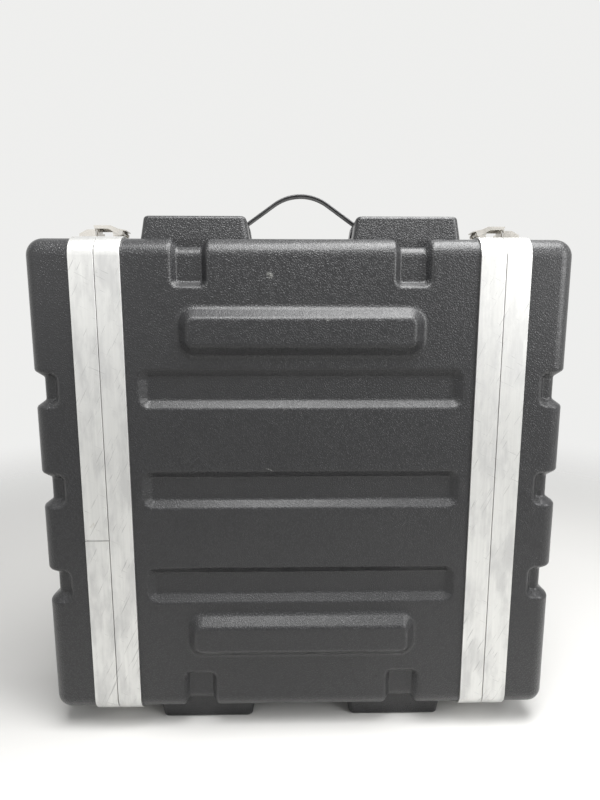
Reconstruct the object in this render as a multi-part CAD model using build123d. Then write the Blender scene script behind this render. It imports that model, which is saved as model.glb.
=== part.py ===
from build123d import *
import math
import os

# Rack case for 19 inch equipment, standing on one side wall.
# Millimetres. X runs from lid to lid, Y through the thickness, Z across the width.
# Every piece is drawn about the case's centre and lifted onto its bumper blocks when it is written.

# Shells
case_width = 542.0
case_thickness = 112.0
case_length = 580.0
lid_depth = 76.3
wall = 4.0
edge_radius = 20.0
lid_end_radius = 18.0

# Channels pressed into both big faces
channel_rows = 3
channel_to_valance = 11.9
channel_width = 42.9
channel_depth = 7.0
channel_slope = 9.0
channel_corner = 11.5
channel_rounding = 5.0

# Raised bars on both big faces
bar_to_channel_end = 44.2
bar_width = 52.5
bar_height = 12.0
bar_slope = 12.0
bar_corner = 18.0
bar_rounding = 7.0
bar_foot_rounding = 9.0
bar_to_side_wall = 72.4
bar_to_channel_gap = 12.6

# Notches that wrap the body's long edges
notch_to_valance = 69.1
notch_width = 39.2
notch_depth = 8.0
notch_slope = 6.5
notch_reach = 52.1
notch_corner = 9.0
notch_rounding = 5.0
notch_floor_rounding = 3.0

# Bumper blocks on both side walls
block_height = 25.0
block_length = 117.0
block_to_valance = 14.4
block_setback = 20.0
block_draft_angle = 9.0
block_corner = 7.0
block_rounding = 4.0

# Grooves that wrap the lids' ends
lid_groove_width = 39.0
lid_groove_depth = 9.5
lid_groove_slope = 7.0
lid_groove_reach = 31.0
lid_groove_corner = 10.0
lid_groove_rounding = 5.0
lid_groove_floor_rounding = 3.0

# Aluminium valances, tongue and groove
valance_width = 26.6
valance_thickness = 2.2
valance_inner_thickness = 1.5
valance_inner_reach = 12.0
valance_web = 2.0
valance_edge_rounding = 0.5
groove_depth = 5.0
tongue_length = 3.7
tongue_clearance = 0.4
parting_gap = 0.6
seal_height = 1.2
seal_clearance = 0.2
valance_joint_width = 0.8
valance_joint_z = -57.0

# Rack rails, to the 19 inch standard
rack_opening = 450.8
rack_hole_spacing = 465.1
rack_unit = 44.45
rack_units = 2
rack_hole_offset = 6.35
rack_hole_radius = 2.4
rail_thickness = 2.0
rail_side_leg = 20.0
rail_setback = 28.0
rail_end_clearance = 2.0

# Fasteners
rivet_radius = 1.6
rivet_head_radius = 3.2
rivet_head_height = 1.1
rivet_head_rounding = 0.9
rivet_tail_radius = 2.4
rivet_tail_height = 1.3
valance_rivet_y = 27.0
screw_radius = 2.0
screw_head_radius = 4.2
screw_head_height = 2.0
screw_head_rounding = 1.4
screw_recess_length = 4.2
screw_recess_width = 1.0
screw_recess_depth = 1.2
nut_radius = 4.0
nut_height = 3.0
screw_protrusion = 1.0
hole_clearance = 0.15
rail_screw_y = 22.0
rail_screw_to_face = 7.0

# Handle
strap_width = 12.0
strap_thickness = 2.6
strap_rounding = 1.25
strap_core_width = 8.4
strap_core_thickness = 1.0
strap_core_clearance = 0.05
strap_peak = 54.5
strap_angle = 35.0
strap_top_radius = 52.0
strap_foot_radius = 25.0
strap_tail = 22.0
pocket_floor = 7.0
pocket_clearance = 4.0
cap_wall = 2.6
cap_roof = 3.4
cap_overhang = 2.0
cap_clearance = 0.2
cap_rounding = 1.5
cap_screw_gap = 9.6

# Draw latches; along is measured outwards from the parting plane, above from the side wall
latch_half_width = 14.0
latch_sheet = 1.5
lever_pin_along = -7.0
lever_pin_above = 12.0
lever_pin_radius = 1.5
bail_pin_throw = 6.5
bail_pin_drop = 0.7
bail_pin_radius = 1.3
pin_clearance = 0.08
ear_outer_face = 6.4
ear_radius = 3.0
ear_foot = 7.5
side_clearance = 0.6
lever_sheet = 1.2
lever_eye_radius = 3.4
lever_plate_above = 16.6
lever_plate_drop = 2.0
lever_plate_start = -8.0
lever_plate_end = -18.5
lever_cheek_end = -15.0
lever_corner_radius = 0.48
bail_sheet = 1.2
bail_eye_radius = 2.8
bail_plate_above = 19.3
bail_plate_start = -3.0
bail_flange = 3.6
hook_clearance = 0.5
hook_engagement = 3.2
keeper_lip_along = 13.2
keeper_lip_gap = 1.0
keeper_end = 31.0
keeper_cheek_high = 14.0
keeper_cheek_low = 9.5
keeper_rivet_along = 24.0
keeper_rivet_y = 8.0
base_inner_end = -25.4
base_outer_end = -1.5
base_rivet_near = -9.5
base_rivet_far = -21.0
base_rivet_y = 10.6
pin_head_radius = 2.2
pin_head_height = 0.6

# Helpers for cutting and for finding edges
over_cut = 1.0
same_place = 0.001

# Places worked out from the sizes above
half_width = case_width / 2
half_thickness = case_thickness / 2
half_length = case_length / 2
parting = half_length - lid_depth
body_visible_end = parting - valance_width
channel_length = 2 * (body_visible_end - channel_to_valance)
bar_length = channel_length - 2 * bar_to_channel_end
notch_to_centre = body_visible_end - notch_to_valance
body_shell_end = parting - groove_depth - valance_web
lid_shell_start = parting + parting_gap / 2 + valance_web
bar_z = half_width - bar_to_side_wall - bar_width / 2
channel_pitch = bar_z - bar_width / 2 - bar_to_channel_gap - channel_width / 2
notch_end_z = half_width - notch_reach
block_half_thickness = half_thickness - block_setback
block_outer_end = body_visible_end - block_to_valance
block_inner_end = block_outer_end - block_length
block_x = block_outer_end - block_length / 2
rail_face = parting - rail_setback
rail_screw_x = rail_face - rail_screw_to_face
valance_rivet_x = groove_depth + valance_web + (valance_inner_reach - groove_depth - valance_web) / 2
inner_wall = half_width - wall
strap_foot = half_width + pocket_floor + strap_thickness / 2
strap_apex = (half_width + strap_peak - strap_thickness / 2
              + strap_top_radius * (1 / math.cos(math.radians(strap_angle)) - 1))
strap_corner_x = (strap_apex - strap_foot) / math.tan(math.radians(strap_angle))
strap_flat_start = strap_corner_x + strap_foot_radius * math.tan(math.radians(strap_angle / 2))
strap_end = strap_flat_start + strap_tail
cap_start = strap_flat_start + cap_overhang
cap_end = strap_end + cap_clearance + cap_wall
cap_screw_x = (cap_start + cap_end) / 2
cap_half_width = strap_width / 2 + cap_clearance + cap_wall
cap_top = half_width + pocket_floor + strap_thickness + cap_clearance + cap_roof
pocket_end = cap_end + pocket_clearance
pocket_half_width = cap_half_width + pocket_clearance / 2
bail_pin_along = lever_pin_along - bail_pin_throw
bail_pin_above = lever_pin_above - bail_pin_drop
lever_inner_face = ear_outer_face + side_clearance
lever_outer_face = lever_inner_face + lever_sheet
bail_inner_face = lever_outer_face + side_clearance
bail_outer_face = bail_inner_face + bail_sheet
keeper_lip_half_width = bail_inner_face - 2 * side_clearance
hook_along = keeper_lip_along + latch_sheet + hook_clearance
keeper_lip_top = bail_plate_above - bail_sheet - keeper_lip_gap
stand_height = half_width + block_height

ENDS = {"front": -1, "rear": 1}
SIDES = {"upper": 1, "lower": -1}


# Basic shapes

def span_box(x, y, z):
    """Box between the given (low, high) pairs."""
    size = (x[1] - x[0], y[1] - y[0], z[1] - z[0])
    middle = ((x[0] + x[1]) / 2, (y[0] + y[1]) / 2, (z[0] + z[1]) / 2)
    return Pos(*middle) * Box(*size)


def section_prism(offset, start, end):
    """The case's cross-section, grown by offset, between two places along X."""
    outline = RectangleRounded(case_thickness + 2 * offset, case_width + 2 * offset, edge_radius + offset)
    return extrude(Plane.YZ.offset(start) * outline, amount=end - start)


def ring_prism(outer_offset, inner_offset, start, end):
    """A band round the cross-section between two offsets, for valances and seals."""
    low, high = sorted((start, end))
    room = section_prism(inner_offset, low - over_cut, high + over_cut)
    return section_prism(outer_offset, low, high) - room


def trapezoid(foot, top, height):
    """Outline with a foot centred on the origin and a top at the given height."""
    points = [(-foot / 2, 0), (foot / 2, 0), (top / 2, height), (-top / 2, height)]
    return make_face(Polyline(*points, close=True))


def tapered_block(length, width, height, end_slope, side_slope, corner):
    """Rounded block that stands on the local XY plane and narrows by the slopes on its way up or down."""
    along = extrude(Plane.XZ * trapezoid(length, length - 2 * end_slope, height), amount=width, both=True)
    across = extrude(Plane.YZ * trapezoid(width, width - 2 * side_slope, height), amount=length, both=True)
    block = along & across
    return fillet(block.edges().filter_by(lambda edge: climbs(edge, height)), corner)


def drafted_block(length, width, height, slope, corner):
    """Block on the local XY plane with round corners, which narrows all round by slope on its way."""
    foot = RectangleRounded(length, width, corner)
    draft = math.degrees(math.atan2(slope, abs(height)))
    return extrude(foot, amount=abs(height), dir=(0, 0, math.copysign(1, height)), taper=draft)


def climbs(edge, height):
    """True for an edge that runs from the foot of a block to its top."""
    return abs(abs((edge @ 0).Z - (edge @ 1).Z) - abs(height)) < same_place


def edges_at_height(shape, height):
    """Edges that lie in the local plane at this height."""
    return shape.edges().filter_by(lambda edge: on_height(edge, height))


def on_height(edge, height):
    """True where the whole edge lies at this height."""
    return all(abs((edge @ place).Z - height) < same_place for place in (0, 0.5, 1))


def big_face(side, x, z):
    """Plane on a big face at a point, facing outwards."""
    return Plane(origin=(x, side * half_thickness, z), x_dir=(1, 0, 0), z_dir=(0, side, 0))


def side_wall(side, x):
    """Plane on a side wall at a point, facing outwards."""
    return Plane(origin=(x, 0, side * half_width), x_dir=(1, 0, 0), z_dir=(0, 0, side))


def wrap_groove(radius, depth, floor_width, rim_width, run_a, run_b, corner):
    """Cutter for a groove of constant depth that wraps a rounded corner.

    The corner's arc is centred on the origin. One face looks along +X, and the groove runs down it
    towards -Y to a sloping end with round corners. The other looks along +Y, and the groove runs on
    it towards -X.
    """
    slope = (rim_width - floor_width) / 2 / depth
    above = depth / 2
    over_width = rim_width + 2 * slope * above
    low = radius - depth
    high = radius + above
    points = [(low, floor_width / 2), (high, over_width / 2),
              (high, -over_width / 2), (low, -floor_width / 2)]
    section = make_face(Polyline(*points, close=True))
    bend = revolve(Plane.XZ * section, Axis.Z, 90)
    flat_b = extrude(Plane.YZ * section, amount=-run_b)
    end = run_a + slope * above
    face = Plane(origin=(high, 0, 0), x_dir=(0, 1, 0), z_dir=(-1, 0, 0))
    flat_a = face * drafted_block(2 * end, over_width, depth + above, slope * (depth + above),
                                  corner + slope * above)
    flat_a -= Pos(high, end, 0) * Box(4 * high, 2 * end, 2 * over_width)
    return bend + flat_b + flat_a


def is_groove_floor_edge(edge, low, run_b):
    """True for the edges round a groove cutter's floor, apart from smooth seams and its open end."""
    middle = edge.center()
    seam = abs(middle.Y) < same_place or abs(middle.X) < same_place or abs(middle.X + run_b) < same_place
    return not seam and all(on_groove_floor(edge @ place, low) for place in (0, 0.5, 1))


def on_groove_floor(point, low):
    """True where a point lies on the floor of a groove cutter."""
    return abs(math.hypot(max(point.X, 0), max(point.Y, 0)) - low) < same_place


# Fasteners, drawn with their axis along +Z and the outer surface at z = 0

def rivet(grip):
    """Solid rivet with a domed head outside and a set tail inside."""
    head = Pos(0, 0, rivet_head_height / 2) * Cylinder(rivet_head_radius, rivet_head_height)
    head = fillet(edges_at_height(head, rivet_head_height), rivet_head_rounding)
    shank = Pos(0, 0, -grip / 2) * Cylinder(rivet_radius, grip)
    tail = Pos(0, 0, -grip - rivet_tail_height / 2) * Cylinder(rivet_tail_radius, rivet_tail_height)
    return head + shank + tail


def rivet_hole(grip):
    """Clearance hole for a rivet."""
    length = grip + rivet_head_height
    return Pos(0, 0, -length / 2) * Cylinder(rivet_radius + hole_clearance, length + over_cut)


def screw(grip):
    """Round-head screw with a cross recess, long enough for its nut."""
    head = Pos(0, 0, screw_head_height / 2) * Cylinder(screw_head_radius, screw_head_height)
    head = fillet(edges_at_height(head, screw_head_height), screw_head_rounding)
    length = grip + nut_height + screw_protrusion
    shank = Pos(0, 0, -length / 2) * Cylinder(screw_radius, length)
    recess = Box(screw_recess_length, screw_recess_width, 2 * screw_recess_depth) \
        + Box(screw_recess_width, screw_recess_length, 2 * screw_recess_depth)
    return head + shank - Pos(0, 0, screw_head_height) * recess


def screw_hole(grip):
    """Clearance hole for a screw."""
    length = grip + 2 * over_cut
    return Pos(0, 0, over_cut - length / 2) * Cylinder(screw_radius + hole_clearance, length)


def nut(grip):
    """Hexagon nut under the grip of a screw."""
    blank = extrude(RegularPolygon(nut_radius, 6), amount=nut_height)
    bore = Pos(0, 0, nut_height / 2) * Cylinder(screw_radius + hole_clearance, nut_height + over_cut)
    return Pos(0, 0, -grip - nut_height) * (blank - bore)


# Body shell

def bar_form(inset):
    """Raised bar, shrunk by inset, on the face that is shrunk by the same inset."""
    form = drafted_block(bar_length - 2 * inset, bar_width - 2 * inset, bar_height,
                         bar_slope, bar_corner - inset)
    if inset == 0:
        form = fillet(edges_at_height(form, bar_height), bar_rounding)
    return Pos(0, 0, -inset) * form


def channel_form(inset):
    """Cutter for a pressed channel, grown by inset."""
    form = drafted_block(channel_length + 2 * inset, channel_width + 2 * inset, -channel_depth,
                         channel_slope, channel_corner + inset)
    if inset == 0:
        form = fillet(edges_at_height(form, -channel_depth), channel_rounding)
    return Pos(0, 0, -inset) * form


def block_form(inset):
    """Bumper block on a side wall with a root that reaches below the notches, shrunk by inset."""
    slope = block_height * math.tan(math.radians(block_draft_angle))
    width = 2 * (block_half_thickness - inset)
    form = tapered_block(block_length - 2 * inset, width, block_height, slope, slope / 2, block_corner)
    if inset == 0:
        form = fillet(edges_at_height(form, block_height), block_rounding)
    foot = RectangleRounded(block_length - 2 * inset, width, block_corner)
    root = extrude(foot, amount=-notch_depth - wall)
    return Pos(0, 0, -inset) * (form + root)


def notch_form(side_y, side_z, x, inset):
    """Cutter for the notch in one long edge, grown by inset, ending under the bumper block."""
    run_on_face = half_width - edge_radius - notch_end_z + inset
    run_on_wall = block_setback - edge_radius + 2 * notch_depth + inset
    cutter = wrap_groove(edge_radius - inset, notch_depth, notch_width - 2 * notch_slope + 2 * inset,
                         notch_width + 2 * inset, run_on_face, run_on_wall, notch_corner + inset)
    if inset == 0:
        low = edge_radius - notch_depth
        floor = cutter.edges().filter_by(lambda edge: is_groove_floor_edge(edge, low, run_on_wall))
        cutter = fillet(floor, notch_floor_rounding)
    place = Plane(origin=(x, side_y * (half_thickness - edge_radius), side_z * (half_width - edge_radius)),
                  x_dir=(0, side_y, 0), z_dir=(side_y * side_z, 0, 0))
    return place * cutter


def pocket_form(side_x, inset):
    """Pocket in an upper block for the end of the handle, open above and towards the handle."""
    x = sorted((side_x * (block_inner_end - block_setback), side_x * (pocket_end + inset)))
    y = pocket_half_width + inset
    return span_box(x, (-y, y), (half_width + pocket_floor - inset, half_width + 2 * block_height))


def channel_places():
    """Heights of the channels, evenly spaced about the middle."""
    return [channel_pitch * (row - (channel_rows - 1) / 2) for row in range(channel_rows)]


def body_form(inset, end):
    """The body as a solid, shrunk by inset, cut square at both ends; the outer form has rounded rims."""
    form = section_prism(-inset, -end, end)
    for side_y in (-1, 1):
        for side_z in (-1, 1):
            for x in (-notch_to_centre, notch_to_centre):
                form -= notch_form(side_y, side_z, x, inset)
    if inset == 0:
        form = fillet(form.edges().filter_by(is_notch_rim), notch_rounding)
    for side in (-1, 1):
        for z in (-bar_z, bar_z):
            form += big_face(side, 0, z) * bar_form(inset)
        for z in channel_places():
            form -= big_face(side, 0, z) * channel_form(inset)
    if inset == 0:
        form = fillet(form.edges().filter_by(is_channel_rim), channel_rounding)
        form = fillet(form.edges().filter_by(is_bar_foot), bar_foot_rounding)
    for side in (-1, 1):
        for x in (-block_x, block_x):
            form += side_wall(side, x) * block_form(inset)
    for side_x in (-1, 1):
        form -= pocket_form(side_x, inset)
    return form


def on_big_face(edge):
    """True where the whole edge lies in one of the big faces."""
    return all(abs(abs((edge @ place).Y) - half_thickness) < same_place for place in (0, 0.5, 1))


def is_channel_rim(edge):
    """True for the rims of the channels in the big faces."""
    middle = edge.center()
    near = any(abs(middle.Z - z) < channel_width / 2 + same_place for z in channel_places())
    return on_big_face(edge) and near and abs(middle.X) < channel_length / 2 + same_place


def is_bar_foot(edge):
    """True for the lines where the bars meet the big faces."""
    middle = edge.center()
    near = abs(abs(middle.Z) - bar_z) < bar_width / 2 + same_place
    return on_big_face(edge) and near and abs(middle.X) < bar_length / 2 + same_place


def is_notch_rim(edge):
    """True for the rims of the notches, on the big faces and round the long edges to the blocks."""
    middle = edge.center()
    if abs(abs(middle.X) - notch_to_centre) > notch_width or abs(middle.Z) < notch_end_z - over_cut:
        return False
    along_x = abs((edge @ 0).X - (edge @ 1).X) > notch_width / 2
    under_block = along_x and abs(middle.Y) < half_thickness - same_place
    return not under_block and not is_seam(edge) and all(on_skin(edge @ place) for place in (0, 0.5, 1))


def is_seam(edge):
    """True for the smooth seam lines beside the rounded long edges."""
    return all(on_rounding_start(edge @ place) for place in (0, 0.5, 1))


def on_rounding_start(point):
    """True where the rounding of the long edges begins."""
    y = abs(point.Y) - (half_thickness - edge_radius)
    z = abs(point.Z) - (half_width - edge_radius)
    return abs(y) < same_place or abs(z) < same_place


def on_skin(point):
    """True where a point lies on the plain rounded cross-section."""
    y = abs(point.Y) - (half_thickness - edge_radius)
    z = abs(point.Z) - (half_width - edge_radius)
    if z > 0 and y > 0:
        return abs(math.hypot(y, z) - edge_radius) < same_place
    return abs(abs(point.Y) - half_thickness) < same_place or abs(abs(point.Z) - half_width) < same_place


def body_shell():
    """One moulded tube with its channels, bars, notches and blocks."""
    shell = body_form(0, body_shell_end) - body_form(wall, body_shell_end + over_cut)
    return shell - [place * screw_hole(wall + rail_thickness) for place in rail_screw_places()] \
        - [place * rivet_hole(valance_grip()) for place in body_rivet_places()] \
        - [place * screw_hole(cap_grip()) for place in cap_screw_places()]


# Lids

def lid_form(end, inset, start):
    """A lid as a solid with a rounded end and three wrapping grooves, shrunk by inset."""
    form = section_prism(-inset, start, half_length - inset)
    rim = form.edges().filter_by(lambda edge: all(abs((edge @ place).X - half_length + inset) < same_place
                                                  for place in (0, 0.5, 1)))
    form = fillet(rim, lid_end_radius - inset)
    run_on_face = lid_groove_reach - lid_end_radius + inset
    run_on_end = half_thickness - lid_end_radius + over_cut
    cutter = wrap_groove(lid_end_radius - inset, lid_groove_depth,
                         lid_groove_width - 2 * lid_groove_slope + 2 * inset, lid_groove_width + 2 * inset,
                         run_on_face, run_on_end, lid_groove_corner + inset)
    if inset == 0:
        low = lid_end_radius - lid_groove_depth
        floor = cutter.edges().filter_by(lambda edge: is_groove_floor_edge(edge, low, run_on_end))
        cutter = fillet(floor, lid_groove_floor_rounding)
    for side in (-1, 1):
        for z in channel_places():
            place = Plane(origin=(half_length - lid_end_radius, side * (half_thickness - lid_end_radius), z),
                          x_dir=(0, side, 0), z_dir=(0, 0, -side))
            form -= place * cutter
    return form if end > 0 else mirror(form, Plane.YZ)


def is_lid_groove_rim(edge):
    """True for the rims of the grooves on the lid's faces, end and rounded corner."""
    away_from_sides = abs(edge.center().Z) < half_width - edge_radius
    return away_from_sides and all(on_lid_skin(edge @ place) for place in (0, 0.5, 1))


def on_lid_skin(point):
    """True where a point lies on the plain rounded outline of a lid, away from its start."""
    x = abs(point.X) - (half_length - lid_end_radius)
    y = abs(point.Y) - (half_thickness - lid_end_radius)
    if abs(point.X) < half_length - lid_groove_reach - over_cut:
        return False
    if x > 0 and y > 0:
        return abs(math.hypot(x, y) - lid_end_radius) < same_place
    return abs(abs(point.Y) - half_thickness) < same_place or abs(abs(point.X) - half_length) < same_place


def lid_shell(end):
    """One moulded dish."""
    outer = lid_form(end, 0, lid_shell_start)
    rims = [edge for edge in outer.edges().filter_by(is_lid_groove_rim) if not is_lid_seam(edge)]
    outer = fillet(rims, lid_groove_rounding)
    shell = outer - lid_form(end, wall, lid_shell_start - over_cut)
    return shell - [place * rivet_hole(valance_grip()) for place in lid_rivet_places(end)] \
        - [place * rivet_hole(latch_grip()) for place in keeper_rivet_places(end)]


def is_lid_seam(edge):
    """True for the smooth seams beside the lid's rounded end, which run along Z."""
    straight = abs((edge @ 0).Z - (edge @ 1).Z) > lid_groove_width
    return straight or abs((edge @ 0).Z - (edge @ 1).Z) > lid_groove_width / 2 and on_seam_line(edge.center())


def on_seam_line(point):
    """True on the lines where the lid's rounding begins."""
    x = abs(point.X) - (half_length - lid_end_radius)
    y = abs(point.Y) - (half_thickness - lid_end_radius)
    return abs(x) < same_place or abs(y) < same_place


# Valances and seals

def valance_joint(side_y):
    """Saw-cut where the two ends of a bent valance meet."""
    y = sorted((side_y * (half_thickness - wall - 2 * valance_inner_thickness), side_y * case_thickness))
    z = (valance_joint_z - valance_joint_width / 2, valance_joint_z + valance_joint_width / 2)
    return span_box((-case_length, case_length), y, z)


def softened(ring, edge_x):
    """Round the outer edges of a valance where they meet the fingers."""
    outline = [edge for edge in ring.edges()
               if any(all(abs((edge @ place).X - x) < same_place for place in (0, 0.5, 1)) for x in edge_x)
               and outside_skin(edge.center())]
    return fillet(outline, valance_edge_rounding)


def outside_skin(point):
    """True well outside the shells' cross-section, where only the valances' outer edges are."""
    y = abs(point.Y) - (half_thickness - edge_radius)
    z = abs(point.Z) - (half_width - edge_radius)
    if y > 0 and z > 0:
        return math.hypot(y, z) > edge_radius + valance_thickness / 2
    beyond = valance_thickness / 2
    return abs(point.Y) > half_thickness + beyond or abs(point.Z) > half_width + beyond


def body_valance(end):
    """Groove-side valance on one end of the body."""
    face = parting - parting_gap / 2
    outer = ring_prism(valance_thickness, 0, face, parting - valance_width)
    inner = ring_prism(-wall, -wall - valance_inner_thickness, face, parting - valance_inner_reach)
    web = ring_prism(0, -wall, body_shell_end, body_shell_end + valance_web)
    ring = softened(outer + inner + web, (face, parting - valance_width)) - valance_joint(1)
    return placed_valance(ring, end) - [place * rivet_hole(valance_grip()) for place in body_rivet_places()]


def lid_valance(end):
    """Tongue-side valance on one lid."""
    face = parting + parting_gap / 2
    outer = ring_prism(valance_thickness, 0, face, parting + valance_width)
    inner = ring_prism(-wall, -wall - valance_inner_thickness, face, parting + valance_inner_reach)
    web = ring_prism(0, -wall, face, lid_shell_start)
    tongue = ring_prism(-tongue_clearance, -wall + tongue_clearance, parting - tongue_length, face)
    ring = softened(outer + inner + web + tongue, (face, parting + valance_width))
    ring -= valance_joint(-1 if end < 0 else 1)
    holes = [place * rivet_hole(valance_grip()) for place in lid_rivet_places(end)] \
        + [place * rivet_hole(latch_grip()) for place in keeper_rivet_places(end)]
    return placed_valance(ring, end) - holes


def placed_valance(ring, end):
    """A valance drawn at the rear end, mirrored for the front."""
    return ring if end > 0 else mirror(ring, Plane.YZ)


def seal(end):
    """Rubber strip in the bottom of a body valance's groove."""
    bottom = parting - groove_depth
    ring = ring_prism(-seal_clearance, -wall + seal_clearance, bottom, bottom + seal_height)
    return placed_valance(ring - valance_joint(1), end)


# Places of the fasteners: planes on the outer surface, facing outwards

def wall_place(x, y, side_z, above):
    """Plane above a side wall for a fastener."""
    return Plane(origin=(x, y, side_z * (half_width + above)), x_dir=(1, 0, 0), z_dir=(0, 0, side_z))


def valance_grip():
    """Thickness that a valance rivet holds."""
    return valance_thickness + wall + valance_inner_thickness


def latch_grip():
    """Thickness that a far latch or keeper rivet holds."""
    return latch_sheet + valance_thickness + wall


def cap_grip():
    """Thickness that a handle screw holds: cap roof, strap and pocket floor."""
    return cap_roof + cap_clearance + strap_thickness + wall


def body_edge_rivet_places():
    """Rivets that hold the body's valances beside the latches."""
    x = parting - valance_rivet_x
    return [wall_place(end * x, y, side, valance_thickness)
            for end in (-1, 1) for side in (-1, 1) for y in (-valance_rivet_y, valance_rivet_y)]


def base_near_places(end, side):
    """Rivets of a latch base that also go through the valance's inner flange."""
    return [wall_place(end * (parting + base_rivet_near), y, side, valance_thickness + latch_sheet)
            for y in (-base_rivet_y, base_rivet_y)]


def base_far_places(end, side):
    """Rivets of a latch base that go through the shell alone."""
    return [wall_place(end * (parting + base_rivet_far), y, side, valance_thickness + latch_sheet)
            for y in (-base_rivet_y, base_rivet_y)]


def body_rivet_places():
    """Every rivet that goes through the body shell."""
    places = body_edge_rivet_places()
    for end in (-1, 1):
        for side in (-1, 1):
            places += base_near_places(end, side) + base_far_places(end, side)
    return places


def lid_rivet_places(end):
    """Rivets that hold a lid's valance beside the keepers."""
    x = parting + valance_web + (valance_inner_reach - valance_web) / 2
    return [wall_place(end * x, y, side, valance_thickness)
            for side in (-1, 1) for y in (-valance_rivet_y, valance_rivet_y)]


def keeper_rivet_places(end):
    """Rivets that hold a lid's keepers."""
    return [wall_place(end * (parting + keeper_rivet_along), y, side, valance_thickness + latch_sheet)
            for side in (-1, 1) for y in (-keeper_rivet_y, keeper_rivet_y)]


def rail_screw_places():
    """Screws that hold the rack rails to the side walls."""
    return [wall_place(end * rail_screw_x, y, side, 0)
            for end in (-1, 1) for side in (-1, 1) for y in (-rail_screw_y, rail_screw_y)]


def cap_screw_places():
    """Screws that hold the ends of the handle."""
    return [wall_place(side_x * cap_screw_x + offset, 0, 1, cap_top - half_width)
            for side_x in (-1, 1) for offset in (-cap_screw_gap / 2, cap_screw_gap / 2)]


# Rack rails

def rack_hole_places():
    """Heights in the rack of the holes: three to a unit, counted from the middle."""
    bottom = -rack_units * rack_unit / 2
    pitch = rack_unit / 2 - rack_hole_offset
    return [bottom + unit * rack_unit + rack_hole_offset + hole * pitch
            for unit in range(rack_units) for hole in range(3)]


def rack_rail(end, side):
    """Steel angle with the standard row of tapped holes."""
    half_rail = rack_units * rack_unit / 2
    face_leg = span_box((rail_face - rail_thickness, rail_face), (-half_rail, half_rail),
                        (rack_opening / 2, inner_wall))
    face_leg &= section_prism(-wall, -half_length, half_length)
    side_y = half_thickness - edge_radius - rail_end_clearance
    side_leg = span_box((rail_face - rail_side_leg, rail_face), (-side_y, side_y),
                        (inner_wall - rail_thickness, inner_wall))
    rail = face_leg + side_leg
    for y in rack_hole_places():
        hole = Cylinder(rack_hole_radius, 4 * rail_thickness, rotation=(0, 90, 0))
        rail -= Pos(rail_face, y, rack_hole_spacing / 2) * hole
    if end < 0:
        rail = mirror(rail, Plane.YZ)
    if side < 0:
        rail = mirror(rail, Plane.XY)
    return rail - [place * screw_hole(wall + rail_thickness) for place in rail_screw_places()]


# Handle

def strap_path():
    """Centre line of the strap: flat tails, sloping sides and one round top."""
    points = [(-strap_end, 0, strap_foot), (-strap_corner_x, 0, strap_foot), (0, 0, strap_apex),
              (strap_corner_x, 0, strap_foot), (strap_end, 0, strap_foot)]
    return FilletPolyline(*points, radius=[strap_foot_radius, strap_top_radius, strap_foot_radius])


def strap_sweep(outline):
    """Sweep a section along the strap's centre line."""
    path = strap_path()
    start = Plane(origin=path @ 0, x_dir=(0, 1, 0), z_dir=(1, 0, 0))
    return sweep(start * outline, path=path)


def handle_strap():
    """Rubber strap with a slot along it for the spring-steel core."""
    sleeve = strap_sweep(RectangleRounded(strap_width, strap_thickness, strap_rounding))
    slot = strap_sweep(Rectangle(strap_core_width + 2 * strap_core_clearance,
                                 strap_core_thickness + 2 * strap_core_clearance))
    return sleeve - slot - [place * screw_hole(cap_grip()) for place in cap_screw_places()]


def strap_core():
    """Spring-steel strip inside the strap."""
    return strap_sweep(Rectangle(strap_core_width, strap_core_thickness)) \
        - [place * screw_hole(cap_grip()) for place in cap_screw_places()]


def strap_cap(side_x):
    """Cap that clamps one end of the strap to the floor of its pocket."""
    floor = half_width + pocket_floor
    cap = span_box((cap_start, cap_end), (-cap_half_width, cap_half_width), (floor, cap_top))
    cap = fillet(cap.edges().filter_by(lambda edge: edge.center().Z > cap_top - same_place), cap_rounding)
    inner = strap_width / 2 + cap_clearance
    cap -= span_box((cap_start - over_cut, strap_end + cap_clearance), (-inner, inner),
                    (floor - over_cut, floor + strap_thickness + cap_clearance))
    if side_x < 0:
        cap = mirror(cap, Plane.YZ)
    return cap - [place * screw_hole(cap_grip()) for place in cap_screw_places()]


# Latches, drawn in the plane of the side view: along the case and above the side wall

def latch_place(end, side):
    """Frame of one latch: local X outwards along the case, local Z away from the side wall."""
    return Plane(origin=(end * parting, 0, side * half_width), x_dir=(end, 0, 0), z_dir=(0, 0, side))


def side_plate(outline, near, far):
    """Extrude a side-view outline between two distances from the middle, on both sides."""
    plate = extrude(Plane.XZ.offset(-far) * outline, amount=far - near)
    return plate + mirror(plate, Plane.XZ)


def disc(along, above, radius):
    """Round outline at a point of the side view."""
    return Pos(along, above) * Circle(radius)


def hull_of(*outlines):
    """Outline that encloses the given round outlines."""
    return make_hull([edge for outline in outlines for edge in outline.edges()])


def cross_pin(along, above, radius, half_length_y):
    """Round bar across the latch."""
    return Pos(along, 0, above) * Cylinder(radius, 2 * half_length_y, rotation=(90, 0, 0))


def latch_base(end, side):
    """Riveted plate with two ears that carry the lever's pin."""
    low = valance_thickness
    plate = span_box((base_inner_end, base_outer_end), (-latch_half_width, latch_half_width),
                     (low, low + latch_sheet))
    foot = hull_of(disc(lever_pin_along - ear_foot / 2, low + latch_sheet, latch_sheet / 2),
                   disc(lever_pin_along + ear_foot / 2, low + latch_sheet, latch_sheet / 2),
                   disc(lever_pin_along, lever_pin_above, ear_radius))
    ears = side_plate(foot, ear_outer_face - lever_sheet, ear_outer_face)
    across = (-latch_half_width, latch_half_width)
    ears -= span_box((base_inner_end, base_outer_end), across, (0, low))
    base = plate + ears
    base -= cross_pin(lever_pin_along, lever_pin_above, lever_pin_radius + pin_clearance, latch_half_width)
    base = latch_place(end, side) * base
    return base - [place * rivet_hole(latch_grip())
                   for place in base_near_places(end, side) + base_far_places(end, side)]


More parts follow.
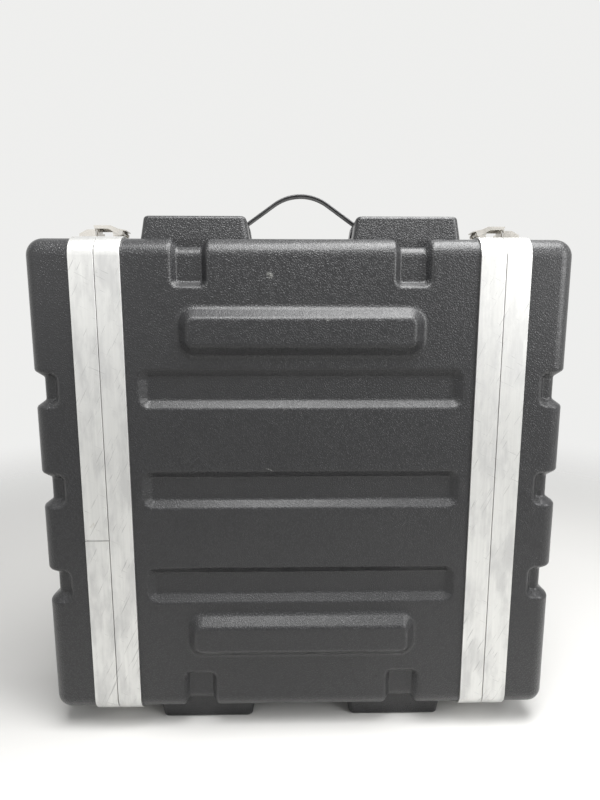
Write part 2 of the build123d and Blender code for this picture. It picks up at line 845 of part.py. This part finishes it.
def lever_pin(end, side):
    """Pin through the ears and the lever."""
    half_span = lever_outer_face + side_clearance / 2
    pin = cross_pin(lever_pin_along, lever_pin_above, lever_pin_radius, half_span)
    return latch_place(end, side) * pin


def lever(end, side):
    """Stamped lever: two cheeks and a sloping finger plate that reaches past them."""
    tilt = math.atan2(lever_plate_drop, lever_plate_start - lever_plate_end)
    reach = math.hypot(lever_plate_drop, lever_plate_start - lever_plate_end)
    under = 2 * lever_corner_radius
    cheek_end_above = lever_plate_above - (lever_plate_start - lever_cheek_end) * math.tan(tilt)
    cheek = hull_of(disc(lever_pin_along, lever_pin_above, lever_eye_radius),
                    disc(bail_pin_along, bail_pin_above, lever_eye_radius - lever_sheet / 2),
                    disc(lever_plate_start - under, lever_plate_above - under, lever_corner_radius),
                    disc(lever_cheek_end + under, cheek_end_above - under, lever_corner_radius))
    cheeks = side_plate(cheek, lever_inner_face, lever_outer_face)
    plate = span_box((-reach, 0), (-lever_outer_face, lever_outer_face), (-lever_sheet, 0))
    plate = Pos(lever_plate_start, 0, lever_plate_above) * (Rot(0, -math.degrees(tilt), 0) * plate)
    body = cheeks + plate
    body -= cross_pin(lever_pin_along, lever_pin_above, lever_pin_radius + pin_clearance, latch_half_width)
    body -= cross_pin(bail_pin_along, bail_pin_above, bail_pin_radius + pin_clearance, latch_half_width)
    return latch_place(end, side) * body


def bail_pin(end, side):
    """Pin that carries the bail on the lever, with a head at each end."""
    half_span = bail_outer_face + side_clearance / 2
    pin = cross_pin(bail_pin_along, bail_pin_above, bail_pin_radius, half_span)
    for way in (-1, 1):
        head = Pos(0, way * (half_span + pin_head_height / 2), 0) \
            * cross_pin(bail_pin_along, bail_pin_above, pin_head_radius, pin_head_height / 2)
        pin += head
    return latch_place(end, side) * pin


def bail(end, side):
    """Stamped bail: two arms from the pin and a plate that hooks over the keeper."""
    end_along = hook_along + bail_sheet
    flange_low = bail_plate_above - bail_flange
    corner = bail_sheet / 2
    arm = hull_of(disc(bail_pin_along, bail_pin_above, bail_eye_radius),
                  disc(bail_plate_start + corner, bail_plate_above - corner, corner),
                  disc(bail_plate_start + bail_flange, bail_plate_above - corner, corner),
                  disc(bail_plate_start + bail_flange, flange_low + corner, corner))
    strip = Pos((bail_plate_start + end_along) / 2, bail_plate_above - bail_flange / 2) \
        * Rectangle(end_along - bail_plate_start - 2 * corner, bail_flange)
    arms = side_plate(arm + strip, bail_inner_face, bail_outer_face)
    plate = span_box((bail_plate_start + corner, end_along), (-bail_outer_face, bail_outer_face),
                     (bail_plate_above - bail_sheet, bail_plate_above))
    hook_low = keeper_lip_top - hook_engagement
    hook = span_box((hook_along, end_along), (-keeper_lip_half_width, keeper_lip_half_width),
                    (hook_low, bail_plate_above))
    body = arms + plate + hook
    body -= cross_pin(bail_pin_along, bail_pin_above, bail_pin_radius + pin_clearance, latch_half_width)
    return latch_place(end, side) * body


def keeper(end, side):
    """Riveted plate on the lid with a lip for the bail and two side cheeks."""
    low = valance_thickness
    top = low + latch_sheet
    plate = span_box((keeper_lip_along, keeper_end), (-latch_half_width, latch_half_width), (low, top))
    lip = span_box((keeper_lip_along, keeper_lip_along + latch_sheet),
                   (-keeper_lip_half_width, keeper_lip_half_width), (low, keeper_lip_top))
    outline = make_face(Polyline((keeper_lip_along, low), (keeper_lip_along, keeper_cheek_high),
                                 ((keeper_lip_along + keeper_end) / 2, keeper_cheek_high),
                                 (keeper_end, keeper_cheek_low), (keeper_end, low), close=True))
    cheeks = side_plate(outline, latch_half_width - latch_sheet, latch_half_width)
    body = latch_place(end, side) * (plate + lip + cheeks)
    return body - [place * rivet_hole(latch_grip()) for place in keeper_rivet_places(end)]


# Writing

def group(shapes):
    """Separate solids of one kind kept in one node."""
    return Compound(children=[solid for shape in shapes for solid in shape.solids()])


def write(name, shape):
    """Lift a piece from the case's centre to its place above the floor and write it."""
    export_step(Pos(0, 0, stand_height) * shape, f"parts/{name}.step")


def body_rivets():
    """Rivets of the body's valances."""
    return group([place * rivet(valance_grip()) for place in body_edge_rivet_places()])


def latch_rivets():
    """Rivets of the four latch bases."""
    near_grip = valance_grip() + latch_sheet
    near = [place * rivet(near_grip) for end in (-1, 1) for side in (-1, 1)
            for place in base_near_places(end, side)]
    far = [place * rivet(latch_grip()) for end in (-1, 1) for side in (-1, 1)
           for place in base_far_places(end, side)]
    return group(near + far)


def write_all():
    """Write every piece of the case."""
    os.makedirs("parts", exist_ok=True)
    write("body_shell", body_shell())
    write("body_valance_rivets", body_rivets())
    write("latch_base_rivets", latch_rivets())
    write("rail_screws", group([place * screw(wall + rail_thickness) for place in rail_screw_places()]))
    write("rail_nuts", group([place * nut(wall + rail_thickness) for place in rail_screw_places()]))
    write("handle_strap", handle_strap())
    write("strap_core", strap_core())
    write("front_strap_cap", strap_cap(-1))
    write("rear_strap_cap", strap_cap(1))
    write("strap_cap_screws", group([place * screw(cap_grip()) for place in cap_screw_places()]))
    write("strap_cap_nuts", group([place * nut(cap_grip()) for place in cap_screw_places()]))
    for end_name, end in ENDS.items():
        write(f"{end_name}_body_valance", body_valance(end))
        write(f"{end_name}_seal", seal(end))
        write(f"{end_name}_lid_shell", lid_shell(end))
        write(f"{end_name}_lid_valance", lid_valance(end))
        write(f"{end_name}_lid_rivets", group(
            [place * rivet(valance_grip()) for place in lid_rivet_places(end)]
            + [place * rivet(latch_grip()) for place in keeper_rivet_places(end)]))
        for side_name, side in SIDES.items():
            corner = f"{end_name}_{side_name}"
            write(f"{corner}_rack_rail", rack_rail(end, side))
            write(f"{corner}_latch_base", latch_base(end, side))
            write(f"{corner}_lever_pin", lever_pin(end, side))
            write(f"{corner}_lever", lever(end, side))
            write(f"{corner}_bail_pin", bail_pin(end, side))
            write(f"{corner}_bail", bail(end, side))
            write(f"{corner}_keeper", keeper(end, side))


write_all()
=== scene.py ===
import bpy
import math
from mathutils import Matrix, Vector

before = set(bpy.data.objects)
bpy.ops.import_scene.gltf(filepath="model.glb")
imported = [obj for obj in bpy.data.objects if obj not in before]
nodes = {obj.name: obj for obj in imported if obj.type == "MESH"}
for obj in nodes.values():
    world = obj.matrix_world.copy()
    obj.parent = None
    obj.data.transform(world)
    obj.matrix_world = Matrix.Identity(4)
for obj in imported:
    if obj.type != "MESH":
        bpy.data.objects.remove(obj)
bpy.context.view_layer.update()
scene = bpy.context.scene

# One millimetre in metres
MM = 0.001

# Floor: half its side, and the distances from the case over which it fades out
FLOOR_REACH = 6.0
FLOOR_FADE_START = 0.45
FLOOR_FADE_END = 1.9

# Surrounding: its colour, its strength as light and its strength where it is seen or mirrored
WORLD_COLOUR = (0.86, 0.86, 0.85, 1.0)
WORLD_LIGHT = 0.28
WORLD_SEEN = 1.0

# Lamps: name, place, point looked at, width and height, power
LAMPS = [
    ("window", (1.25, -0.84, 0.90), (0, 0, 0.45), (0.6, 1.0), 16),
    ("top", (0.15, -0.28, 1.30), (0, -0.05, 0.5), (1.2, 0.6), 27),
    ("fill", (-1.15, -1.25, 1.0), (0, 0, 0.45), (1.2, 1.2), 4),
]

# Heights of the finest forms, which only the materials show
GRAIN_HEIGHT = 0.30 * MM
ALUMINIUM_HEIGHT = 0.03 * MM
PLATING_HEIGHT = 0.02 * MM
DULL_BLACK_HEIGHT = 0.05 * MM
TOOTH_HEIGHT = 0.05 * MM

# Marks on the near face, two scuffs and a scratch: place, reach along each axis and tilt
MARKS = [
    ((-0.033, -0.056, 0.5275), (0.005, 0.004, 0.006), 0.3),
    ((0.027, -0.066, 0.481), (0.004, 0.004, 0.002), 0.0),
    ((-0.035, -0.056, 0.319), (0.006, 0.004, 0.0009), 0.4),
]

# Camera, as fitted to the photograph; its sensor and lens are in millimetres
CAMERA_PLACE = (-0.0104, -0.5724, 0.4680)
CAMERA_PITCH_DOWN = math.radians(7.91)
CAMERA_TURN_RIGHT = math.radians(0.97)
CAMERA_SENSOR_HEIGHT = 36.0
CAMERA_LENS = 21.77


# Helpers for node materials

class Nodes:
    """A node tree that is written as a chain of small steps."""

    def __init__(self, name):
        self.material = bpy.data.materials.new(name)
        self.material.use_nodes = True
        self.tree = self.material.node_tree
        self.shader = self.tree.nodes["Principled BSDF"]
        self.place = self.new("ShaderNodeTexCoord").outputs["Object"]

    def new(self, kind):
        return self.tree.nodes.new(kind)

    def link(self, source, target):
        self.tree.links.new(source, target)

    def set(self, **values):
        """Constant values on the shader's own sockets."""
        for name, value in values.items():
            self.shader.inputs[name.replace("_", " ")].default_value = value

    def stretched(self, scale, turn=(0, 0, 0)):
        """The object's coordinates, turned and then scaled by axis."""
        turned = self.new("ShaderNodeMapping")
        turned.inputs["Rotation"].default_value = turn
        self.link(self.place, turned.inputs["Vector"])
        scaled = self.new("ShaderNodeMapping")
        scaled.inputs["Scale"].default_value = scale
        self.link(turned.outputs["Vector"], scaled.inputs["Vector"])
        return scaled.outputs["Vector"]

    def noise(self, scale, detail=3.0, roughness=0.5, turn=(0, 0, 0)):
        """Noise from 0 to 1, with a scale for each axis in cells per metre."""
        texture = self.new("ShaderNodeTexNoise")
        texture.inputs["Scale"].default_value = 1.0
        texture.inputs["Detail"].default_value = detail
        texture.inputs["Roughness"].default_value = roughness
        self.link(self.stretched(scale, turn), texture.inputs["Vector"])
        return texture.outputs["Fac"]

    def cells(self, scale):
        """Distance to the edges of irregular cells, with a scale for each axis in cells per metre."""
        texture = self.new("ShaderNodeTexVoronoi")
        texture.feature = "DISTANCE_TO_EDGE"
        texture.inputs["Scale"].default_value = 1.0
        self.link(self.stretched(scale), texture.inputs["Vector"])
        return texture.outputs["Distance"]

    def ramp(self, source, low, high, start=0.0, end=1.0):
        """Map source from low..high to start..end, held at both ends."""
        mapped = self.new("ShaderNodeMapRange")
        mapped.interpolation_type = "SMOOTHSTEP"
        for name, value in (("From Min", low), ("From Max", high), ("To Min", start), ("To Max", end)):
            mapped.inputs[name].default_value = value
        self.link(source, mapped.inputs["Value"])
        return mapped.outputs["Result"]

    def length(self, vector):
        """Length of a vector."""
        node = self.new("ShaderNodeVectorMath")
        node.operation = "LENGTH"
        self.link(vector, node.inputs[0])
        return node.outputs["Value"]

    def spot(self, place, reach, tilt):
        """1 at a place, fading to 0 at the reach along each axis, tilted about Y."""
        mapping = self.new("ShaderNodeMapping")
        mapping.vector_type = "TEXTURE"
        mapping.inputs["Location"].default_value = place
        mapping.inputs["Rotation"].default_value = (0, tilt, 0)
        mapping.inputs["Scale"].default_value = reach
        self.link(self.place, mapping.inputs["Vector"])
        return self.ramp(self.length(mapping.outputs["Vector"]), 0.3, 1.0, 1.0, 0.0)

    def math(self, operation, a, b):
        """One arithmetic step; either side may be a number."""
        node = self.new("ShaderNodeMath")
        node.operation = operation
        for socket, value in zip(node.inputs, (a, b)):
            if isinstance(value, (int, float)):
                socket.default_value = value
            else:
                self.link(value, socket)
        return node.outputs["Value"]

    def blend(self, factor, a, b):
        """Colour a where factor is 0 and colour b where it is 1; either may be a colour or a socket."""
        node = self.new("ShaderNodeMix")
        node.data_type = "RGBA"
        self.link(factor, node.inputs["Factor"])
        for name, value in (("A", a), ("B", b)):
            socket = [s for s in node.inputs if s.name == name and s.type == "RGBA"][0]
            if isinstance(value, tuple):
                socket.default_value = (*value, 1.0)
            else:
                self.link(value, socket)
        return [s for s in node.outputs if s.type == "RGBA"][0]

    def bump(self, height, depth, strength=1.0):
        """Raise the surface by height times depth in metres."""
        node = self.new("ShaderNodeBump")
        node.inputs["Distance"].default_value = depth
        node.inputs["Strength"].default_value = strength
        self.link(height, node.inputs["Height"])
        return node.outputs["Normal"]

    def finish(self, colour, roughness, normal):
        """Join the worked-out values to the shader."""
        self.link(colour, self.shader.inputs["Base Color"])
        self.link(roughness, self.shader.inputs["Roughness"])
        self.link(normal, self.shader.inputs["Normal"])
        return self.material


# Materials

def moulded_abs():
    """Charcoal ABS with leather grain, whose crevices carry painted shade, a greasy sheen, polished by
    handling, and lightly scuffed.
    """
    n = Nodes("moulded_abs")
    n.set(Metallic=0.0, IOR=1.42, Coat_Weight=0.5, Coat_Roughness=0.30, Coat_IOR=1.42)
    grain = n.ramp(n.cells((470, 500, 370)), 0.02, 0.34)
    fine = n.noise((1100, 1100, 900), detail=2.0)
    height = n.math("ADD", grain, n.math("MULTIPLY", fine, 0.45))
    handled = n.ramp(n.noise((9, 9, 9), detail=4.0), 0.35, 0.7)
    scuffs = n.ramp(n.noise((30, 30, 420), detail=5.0, roughness=0.65, turn=(0, 0.5, 0)), 0.71, 0.76)
    patches = n.ramp(n.noise((14, 14, 14), detail=2.0), 0.58, 0.68)
    scuffs = n.math("MULTIPLY", scuffs, patches)
    broken = n.ramp(n.noise((350, 350, 350), detail=3.0), 0.38, 0.58)
    for place, reach, tilt in MARKS:
        scuffs = n.math("MAXIMUM", scuffs, n.math("MULTIPLY", n.spot(place, reach, tilt), broken))
    base = n.blend(handled, (0.010, 0.0105, 0.012), (0.017, 0.0175, 0.019))
    # Painted shade: the crevices between the grain cells are darkened to near black, standing in for the
    # shade that falls in them
    colour = n.blend(grain, (0.004, 0.004, 0.005), base)
    colour = n.blend(n.math("MULTIPLY", scuffs, 0.7), colour, (0.19, 0.19, 0.18))
    roughness = n.ramp(n.math("MULTIPLY", grain, handled), 0.0, 1.0, 0.40, 0.26)
    return n.finish(colour, roughness, n.bump(height, GRAIN_HEIGHT))


def valance_aluminium():
    """Satin extrusion with fine lines along its length, light scratches, dull patches and stains."""
    n = Nodes("valance_aluminium")
    n.set(Metallic=1.0)
    lines = n.noise((5200, 12, 12), detail=3.0, roughness=0.6)
    bands = n.noise((420, 5, 5), detail=3.0, roughness=0.6)
    patches = n.ramp(n.noise((50, 16, 16), detail=5.0, roughness=0.6), 0.42, 0.66)
    steep = n.ramp(n.noise((28, 28, 700), detail=2.0, roughness=0.6, turn=(0, 1.1, 0)), 0.66, 0.71)
    flat = n.ramp(n.noise((40, 40, 900), detail=2.0, roughness=0.6, turn=(0, -0.45, 0)), 0.69, 0.74)
    scratches = n.math("MAXIMUM", steep, flat)
    stains = n.ramp(n.noise((60, 60, 38), detail=5.0, roughness=0.6), 0.70, 0.76)
    base = n.blend(bands, (0.56, 0.56, 0.55), (0.70, 0.70, 0.68))
    colour = n.blend(n.math("MULTIPLY", patches, 0.55), base, (0.40, 0.40, 0.40))
    colour = n.blend(n.math("MULTIPLY", scratches, 0.6), colour, (0.30, 0.30, 0.30))
    colour = n.blend(n.math("MULTIPLY", stains, 0.4), colour, (0.36, 0.32, 0.25))
    roughness = n.math("ADD", n.ramp(lines, 0.2, 0.8, 0.34, 0.46), n.math("MULTIPLY", patches, 0.08))
    height = n.math("SUBTRACT", lines, n.math("MULTIPLY", scratches, 0.8))
    return n.finish(colour, roughness, n.bump(height, ALUMINIUM_HEIGHT, 0.6))


def plated_steel(name, dark, light, smooth, dull):
    """Plated steel with faint clouding and fine handling marks."""
    n = Nodes(name)
    n.set(Metallic=1.0)
    clouds = n.noise((45, 45, 45), detail=2.0, roughness=0.4)
    marks = n.noise((260, 2600, 2600), detail=2.0)
    colour = n.blend(clouds, dark, light)
    roughness = n.ramp(n.math("ADD", clouds, marks), 0.6, 1.4, smooth, dull)
    return n.finish(colour, roughness, n.bump(marks, PLATING_HEIGHT, 0.5))


def rivet_aluminium():
    """Rivets of plain aluminium with a clouded surface."""
    n = Nodes("rivet_aluminium")
    n.set(Metallic=1.0)
    clouds = n.noise((500, 500, 500), detail=3.0)
    colour = n.blend(clouds, (0.55, 0.55, 0.54), (0.74, 0.74, 0.72))
    roughness = n.ramp(clouds, 0.3, 0.7, 0.30, 0.46)
    return n.finish(colour, roughness, n.bump(clouds, ALUMINIUM_HEIGHT, 0.6))


def dull_black(name, dark, light, roughness_low, roughness_high, grain):
    """Black rubber or plastic with a dusty bloom and a very fine texture."""
    n = Nodes(name)
    n.set(Metallic=0.0, IOR=1.5)
    bloom = n.ramp(n.noise((60, 60, 60), detail=5.0), 0.35, 0.75)
    texture = n.noise((grain, grain, grain), detail=2.0)
    colour = n.blend(bloom, dark, light)
    roughness = n.ramp(bloom, 0.0, 1.0, roughness_low, roughness_high)
    return n.finish(colour, roughness, n.bump(texture, DULL_BLACK_HEIGHT, 0.6))


def floor_paper():
    """Pale matt paper with a barely visible tooth, which fades into the surrounding away from the case."""
    n = Nodes("floor_paper")
    n.set(Metallic=0.0)
    fade = n.ramp(n.length(n.place), FLOOR_FADE_START, FLOOR_FADE_END, 1.0, 0.0)
    n.link(fade, n.shader.inputs["Alpha"])
    tooth = n.noise((900, 900, 900), detail=2.0)
    clouds = n.noise((3, 3, 3), detail=2.0)
    colour = n.blend(clouds, (0.66, 0.655, 0.64), (0.70, 0.695, 0.68))
    roughness = n.ramp(tooth, 0.0, 1.0, 0.75, 0.9)
    return n.finish(colour, roughness, n.bump(tooth, TOOTH_HEIGHT, 0.3))


MATERIALS = {
    "moulded_abs": moulded_abs(),
    "valance_aluminium": valance_aluminium(),
    "rivet_aluminium": rivet_aluminium(),
    "latch_steel": plated_steel("latch_steel", (0.44, 0.42, 0.39), (0.58, 0.56, 0.52), 0.24, 0.38),
    "pin_steel": plated_steel("pin_steel", (0.42, 0.41, 0.39), (0.58, 0.57, 0.54), 0.22, 0.38),
    "rail_steel": plated_steel("rail_steel", (0.44, 0.44, 0.43), (0.60, 0.60, 0.59), 0.30, 0.46),
    "screw_steel": plated_steel("screw_steel", (0.40, 0.40, 0.39), (0.56, 0.56, 0.55), 0.26, 0.42),
    "spring_steel": plated_steel("spring_steel", (0.30, 0.30, 0.31), (0.44, 0.44, 0.45), 0.28, 0.44),
    "strap_rubber": dull_black("strap_rubber", (0.014, 0.014, 0.015), (0.024, 0.024, 0.025),
                               0.40, 0.56, 1400),
    "seal_rubber": dull_black("seal_rubber", (0.020, 0.020, 0.020), (0.034, 0.034, 0.034),
                              0.60, 0.78, 1800),
    "cap_plastic": dull_black("cap_plastic", (0.016, 0.016, 0.017), (0.028, 0.028, 0.029),
                              0.34, 0.50, 900),
}


def slot_of(name):
    """The record's material slot of a CAD node."""
    if "rivets" in name:
        return "rivet_aluminium"
    if "valance" in name:
        return "valance_aluminium"
    if name.endswith("shell"):
        return "moulded_abs"
    if name.endswith("seal"):
        return "seal_rubber"
    if name == "handle_strap":
        return "strap_rubber"
    if name == "strap_core":
        return "spring_steel"
    if name.endswith("cap"):
        return "cap_plastic"
    if name.endswith("rail"):
        return "rail_steel"
    if name.endswith(("screws", "nuts")):
        return "screw_steel"
    if name.endswith("pin"):
        return "pin_steel"
    return "latch_steel"


def dress(cad_nodes):
    """Give every carried-over CAD node its procedural material."""
    for name, piece in cad_nodes.items():
        piece.data.materials.clear()
        piece.data.materials.append(MATERIALS[slot_of(name)])


# Stage, lamps and camera

def surface(name, corners, material):
    """A flat four-sided piece."""
    mesh = bpy.data.meshes.new(name)
    mesh.from_pydata(corners, [], [tuple(range(len(corners)))])
    piece = bpy.data.objects.new(name, mesh)
    scene.collection.objects.link(piece)
    mesh.materials.append(material)
    return piece


def set_stage():
    """A pale floor under the case."""
    corners = [(x * FLOOR_REACH, y * FLOOR_REACH, 0) for x, y in ((-1, -1), (1, -1), (1, 1), (-1, 1))]
    floor = surface("floor", corners, floor_paper())


def set_world():
    """A pale surrounding, which lights the case more dimly than it is seen or mirrored."""
    world = bpy.data.worlds.new("surrounding")
    world.use_nodes = True
    tree = world.node_tree
    background = tree.nodes["Background"]
    background.inputs["Color"].default_value = WORLD_COLOUR
    rays = tree.nodes.new("ShaderNodeLightPath")
    seen = rays.outputs["Is Camera Ray"]
    for name in ("Is Glossy Ray", "Is Transmission Ray"):
        either = tree.nodes.new("ShaderNodeMath")
        either.operation = "MAXIMUM"
        tree.links.new(seen, either.inputs[0])
        tree.links.new(rays.outputs[name], either.inputs[1])
        seen = either.outputs["Value"]
    strength = tree.nodes.new("ShaderNodeMapRange")
    strength.inputs["To Min"].default_value = WORLD_LIGHT
    strength.inputs["To Max"].default_value = WORLD_SEEN
    tree.links.new(seen, strength.inputs["Value"])
    tree.links.new(strength.outputs["Result"], background.inputs["Strength"])
    scene.world = world


def softbox(name, place, target, size, power):
    """A rectangular area lamp that looks at a point."""
    data = bpy.data.lights.new(name, "AREA")
    data.shape = "RECTANGLE"
    data.size, data.size_y = size
    data.energy = power
    lamp = bpy.data.objects.new(name, data)
    lamp.location = place
    lamp.rotation_euler = (Vector(target) - Vector(place)).to_track_quat("-Z", "Y").to_euler()
    scene.collection.objects.link(lamp)


def set_lamps():
    """A tall box on the right, like a window, a wide one over the case and a dim one on the left."""
    for lamp in LAMPS:
        softbox(*lamp)


def set_camera():
    """The photograph's viewpoint."""
    data = bpy.data.cameras.new("camera")
    data.sensor_fit = "VERTICAL"
    data.sensor_height = CAMERA_SENSOR_HEIGHT
    data.lens = CAMERA_LENS
    camera = bpy.data.objects.new("camera", data)
    camera.location = CAMERA_PLACE
    camera.rotation_euler = (math.radians(90) - CAMERA_PITCH_DOWN, 0, -CAMERA_TURN_RIGHT)
    scene.collection.objects.link(camera)
    scene.camera = camera


dress(nodes)
set_stage()
set_world()
set_lamps()
set_camera()
scene.view_settings.view_transform = "Standard"
